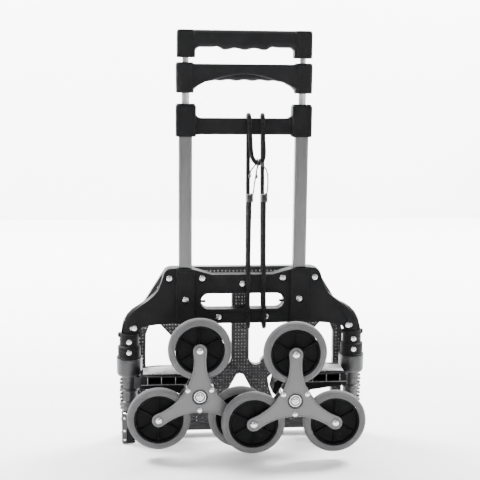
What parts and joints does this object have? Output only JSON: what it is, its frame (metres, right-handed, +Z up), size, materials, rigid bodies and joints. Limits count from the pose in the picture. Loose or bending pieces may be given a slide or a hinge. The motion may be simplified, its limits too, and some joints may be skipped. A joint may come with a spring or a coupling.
{
  "type": "folding stair-climbing hand trolley",
  "caption": "Folding hand trolley for shopping and luggage, folded: telescopic handle, swing-out tri-star wheel clusters for stairs, fold-up toe plate and bungee cord.",
  "frame": {"origin": "bottom centre of the folded trolley's box, on the floor under its feet", "axes": "+Z up along the handle tubes, +Y from the wheel side to the toe-plate side, +X to the right seen from the wheel side"},
  "size_m": [0.4184, 0.1574, 0.684],
  "materials": {
    "black_plastic": "moulded, fine matt grain",
    "tube_aluminium": "satin anodised extrusion",
    "cast_alloy": "die-cast, lightly textured",
    "zinc_steel": "bright zinc plate",
    "silver_plate": "silver powder coat",
    "tyre_grey": "moulded grey rubber",
    "wheel_black": "moulded, semi-matt",
    "grip_plastic": "moulded soft-touch",
    "toe_plastic": "moulded, studded load face",
    "cord_black": "woven cover over elastic",
    "hook_wire": "black coated steel wire"
  },
  "bodies": {
    "frame": {"frame_bracket_rear": "black_plastic", "frame_bracket_front": "black_plastic", "frame_tube_left": "tube_aluminium", "frame_tube_right": "tube_aluminium", "yoke": "black_plastic", "guide_bush_left": "black_plastic", "guide_bush_right": "black_plastic", "column_post_left": "zinc_steel", "column_post_right": "zinc_steel", "column_sleeve_left": "black_plastic", "column_sleeve_right": "black_plastic", "cup_left": "cast_alloy", "cup_right": "cast_alloy", "foot_block_left": "black_plastic", "foot_block_right": "black_plastic", "foot_plate_left": "cast_alloy", "foot_plate_right": "cast_alloy", "toe_hinge_pin_left": "zinc_steel", "toe_hinge_pin_right": "zinc_steel", "bungee_cord": "cord_black", "bungee_hook_left": "hook_wire", "bungee_hook_right": "hook_wire"},
    "mid_stage": {"mid_handle": "grip_plastic", "stage2_tube_left": "tube_aluminium", "stage2_tube_right": "tube_aluminium"},
    "top_stage": {"top_handle": "grip_plastic", "stage3_tube_left": "tube_aluminium", "stage3_tube_right": "tube_aluminium"},
    "toe": {"toe_plate": "toe_plastic"},
    "left_swing": {"swing_knuckle_left": "cast_alloy", "swing_arm_left": "black_plastic", "hub_axle_left": "zinc_steel"},
    "left_star": {"star_plate_front_left": "silver_plate", "star_plate_rear_left": "silver_plate", "hub_bearing_left": "zinc_steel", "wheel_bolt_left_1": "zinc_steel", "wheel_bolt_left_2": "zinc_steel", "wheel_bolt_left_3": "zinc_steel"},
    "left_wheel_1": {"tyre_left_1": "tyre_grey", "wheel_core_left_1": "wheel_black"},
    "left_wheel_2": {"tyre_left_2": "tyre_grey", "wheel_core_left_2": "wheel_black"},
    "left_wheel_3": {"tyre_left_3": "tyre_grey", "wheel_core_left_3": "wheel_black"},
    "right_swing": {"swing_knuckle_right": "cast_alloy", "swing_arm_right": "black_plastic", "hub_axle_right": "zinc_steel"},
    "right_star": {"star_plate_front_right": "silver_plate", "star_plate_rear_right": "silver_plate", "hub_bearing_right": "zinc_steel", "wheel_bolt_right_1": "zinc_steel", "wheel_bolt_right_2": "zinc_steel", "wheel_bolt_right_3": "zinc_steel"},
    "right_wheel_1": {"tyre_right_1": "tyre_grey", "wheel_core_right_1": "wheel_black"},
    "right_wheel_2": {"tyre_right_2": "tyre_grey", "wheel_core_right_2": "wheel_black"},
    "right_wheel_3": {"tyre_right_3": "tyre_grey", "wheel_core_right_3": "wheel_black"}
  },
  "joints": [
    {"name": "mid_handle_slide", "type": "slide", "parent": "frame", "child": "mid_stage", "axis": [0, 0, 1], "range_m": [0, 0.155]},
    {"name": "top_handle_slide", "type": "slide", "parent": "mid_stage", "child": "top_stage", "axis": [0, 0, 1], "range_m": [0, 0.15]},
    {"name": "toe_fold", "type": "hinge", "parent": "frame", "child": "toe", "pos_m": [0, 0.0692, 0.018], "axis": [-1, 0, 0], "range_deg": [0, 90]},
    {"name": "left_swing_fold", "type": "hinge", "parent": "frame", "child": "left_swing", "pos_m": [-0.188, 0.0407, 0.103], "axis": [0, 0, -1], "range_deg": [0, 90]},
    {"name": "left_star_spin", "type": "hinge", "parent": "left_swing", "child": "left_star", "pos_m": [-0.075, -0.0453, 0.103], "axis": [0, 1, 0], "continuous": true},
    {"name": "left_wheel_1_spin", "type": "hinge", "parent": "left_star", "child": "left_wheel_1", "pos_m": [-0.075, -0.0453, 0.179], "axis": [0, 1, 0], "continuous": true},
    {"name": "left_wheel_2_spin", "type": "hinge", "parent": "left_star", "child": "left_wheel_2", "pos_m": [-0.14082, -0.0453, 0.065], "axis": [0, 1, 0], "continuous": true},
    {"name": "left_wheel_3_spin", "type": "hinge", "parent": "left_star", "child": "left_wheel_3", "pos_m": [-0.00918, -0.0453, 0.065], "axis": [0, 1, 0], "continuous": true},
    {"name": "right_swing_fold", "type": "hinge", "parent": "frame", "child": "right_swing", "pos_m": [0.188, 0.0407, 0.103], "axis": [0, 0, 1], "range_deg": [0, 90]},
    {"name": "right_star_spin", "type": "hinge", "parent": "right_swing", "child": "right_star", "pos_m": [0.075, -0.0753, 0.103], "axis": [0, 1, 0], "continuous": true},
    {"name": "right_wheel_1_spin", "type": "hinge", "parent": "right_star", "child": "right_wheel_1", "pos_m": [0.075, -0.0753, 0.179], "axis": [0, 1, 0], "continuous": true},
    {"name": "right_wheel_2_spin", "type": "hinge", "parent": "right_star", "child": "right_wheel_2", "pos_m": [0.00918, -0.0753, 0.065], "axis": [0, 1, 0], "continuous": true},
    {"name": "right_wheel_3_spin", "type": "hinge", "parent": "right_star", "child": "right_wheel_3", "pos_m": [0.14082, -0.0753, 0.065], "axis": [0, 1, 0], "continuous": true}
  ],
  "couplings": [
    {"joint": "left_swing_fold", "follows": "toe_fold", "ratio": 1},
    {"joint": "right_swing_fold", "follows": "toe_fold", "ratio": 1}
  ]
}
